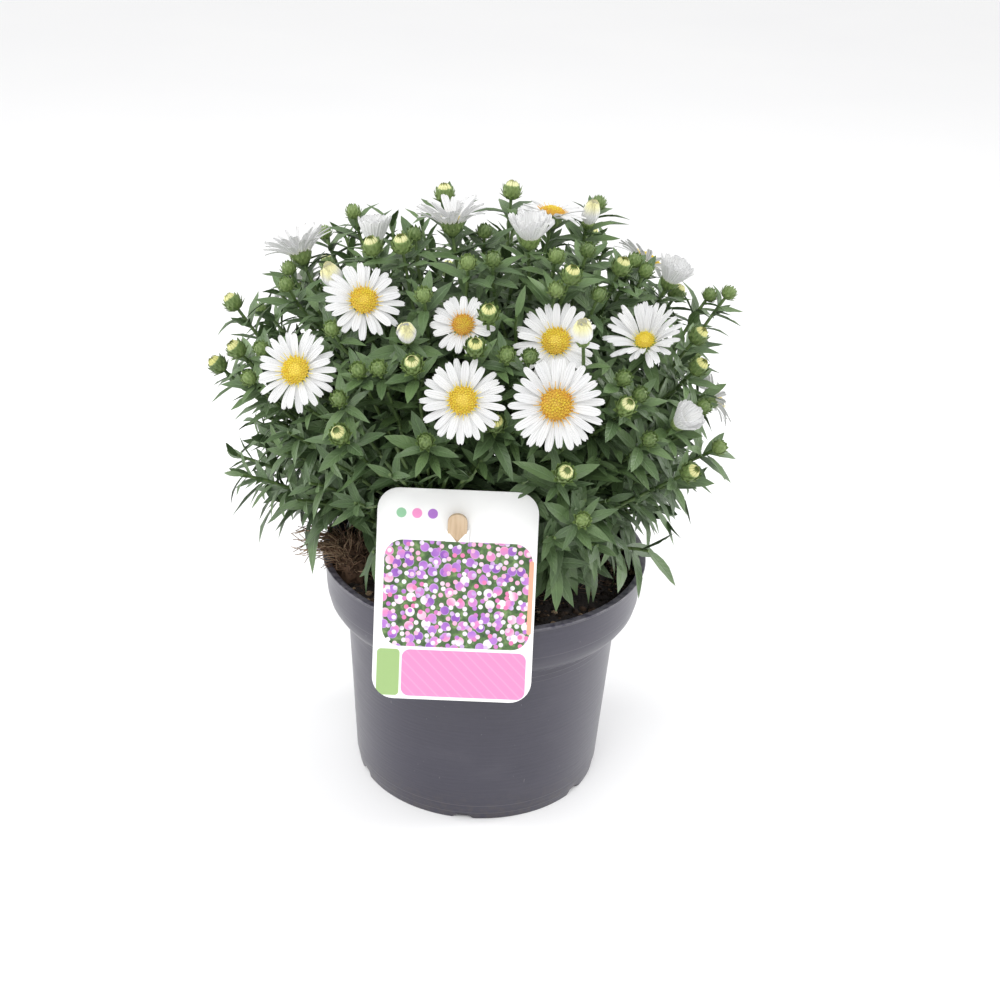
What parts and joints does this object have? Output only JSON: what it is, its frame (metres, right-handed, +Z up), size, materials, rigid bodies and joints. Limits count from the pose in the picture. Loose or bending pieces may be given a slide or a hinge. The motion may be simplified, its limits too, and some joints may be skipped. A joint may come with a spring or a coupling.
{
  "type": "potted new york aster",
  "caption": "White-flowered New York aster in bloom with buds and narrow leaves, in a round plastic nursery pot with soil and a plain label card on a wooden stake.",
  "frame": {"origin": "centre of the flat base of the pot, on the face it rests on", "axes": "+Z up along the pot's axis, -Y towards the label card, +X to the right of it seen from the front"},
  "size_m": [0.2668, 0.2215, 0.3219],
  "materials": {
    "pot_plastic": "satin dark grey",
    "peat": "loose dark peat with fibres",
    "card_plastic": "smooth printed white sheet",
    "wood": "bare",
    "green_growth": "satin leaf green",
    "white_rays": "soft petal",
    "yellow_florets": "velvety florets"
  },
  "bodies": {
    "root": {"pot": "pot_plastic", "soil": "peat", "label_card": "card_plastic", "label_stake": "wood", "leafy_stem_1": "green_growth", "leafy_stem_2": "green_growth", "leafy_stem_3": "green_growth", "leafy_stem_4": "green_growth", "leafy_stem_5": "green_growth", "leafy_stem_6": "green_growth", "leafy_stem_7": "green_growth", "leafy_stem_8": "green_growth", "leafy_stem_9": "green_growth", "leafy_stem_10": "green_growth", "leafy_stem_11": "green_growth", "leafy_stem_12": "green_growth", "bloom_01_rays": "white_rays", "bloom_02_rays": "white_rays", "bloom_03_rays": "white_rays", "bloom_04_rays": "white_rays", "bloom_05_rays": "white_rays", "bloom_06_rays": "white_rays", "bloom_07_rays": "white_rays", "bloom_08_rays": "white_rays", "bloom_09_rays": "white_rays", "bloom_10_rays": "white_rays", "bloom_11_rays": "white_rays", "bloom_12_rays": "white_rays", "bloom_13_rays": "white_rays", "bloom_14_rays": "white_rays", "bloom_15_rays": "white_rays", "bloom_16_rays": "white_rays", "bloom_17_rays": "white_rays", "bloom_18_rays": "white_rays", "bloom_19_rays": "white_rays", "bloom_20_rays": "white_rays", "bloom_21_rays": "white_rays", "bloom_22_rays": "white_rays", "bloom_23_rays": "white_rays", "bloom_24_rays": "white_rays", "bloom_01_disc": "yellow_florets", "bloom_02_disc": "yellow_florets", "bloom_03_disc": "yellow_florets", "bloom_04_disc": "yellow_florets", "bloom_05_disc": "yellow_florets", "bloom_06_disc": "yellow_florets", "bloom_07_disc": "yellow_florets", "bloom_08_disc": "yellow_florets", "bloom_09_disc": "yellow_florets", "bloom_10_disc": "yellow_florets", "bloom_19_disc": "yellow_florets", "bloom_20_disc": "yellow_florets", "bloom_21_disc": "yellow_florets", "bloom_22_disc": "yellow_florets", "bloom_23_disc": "yellow_florets", "bloom_24_disc": "yellow_florets"}
  },
  "joints": []
}
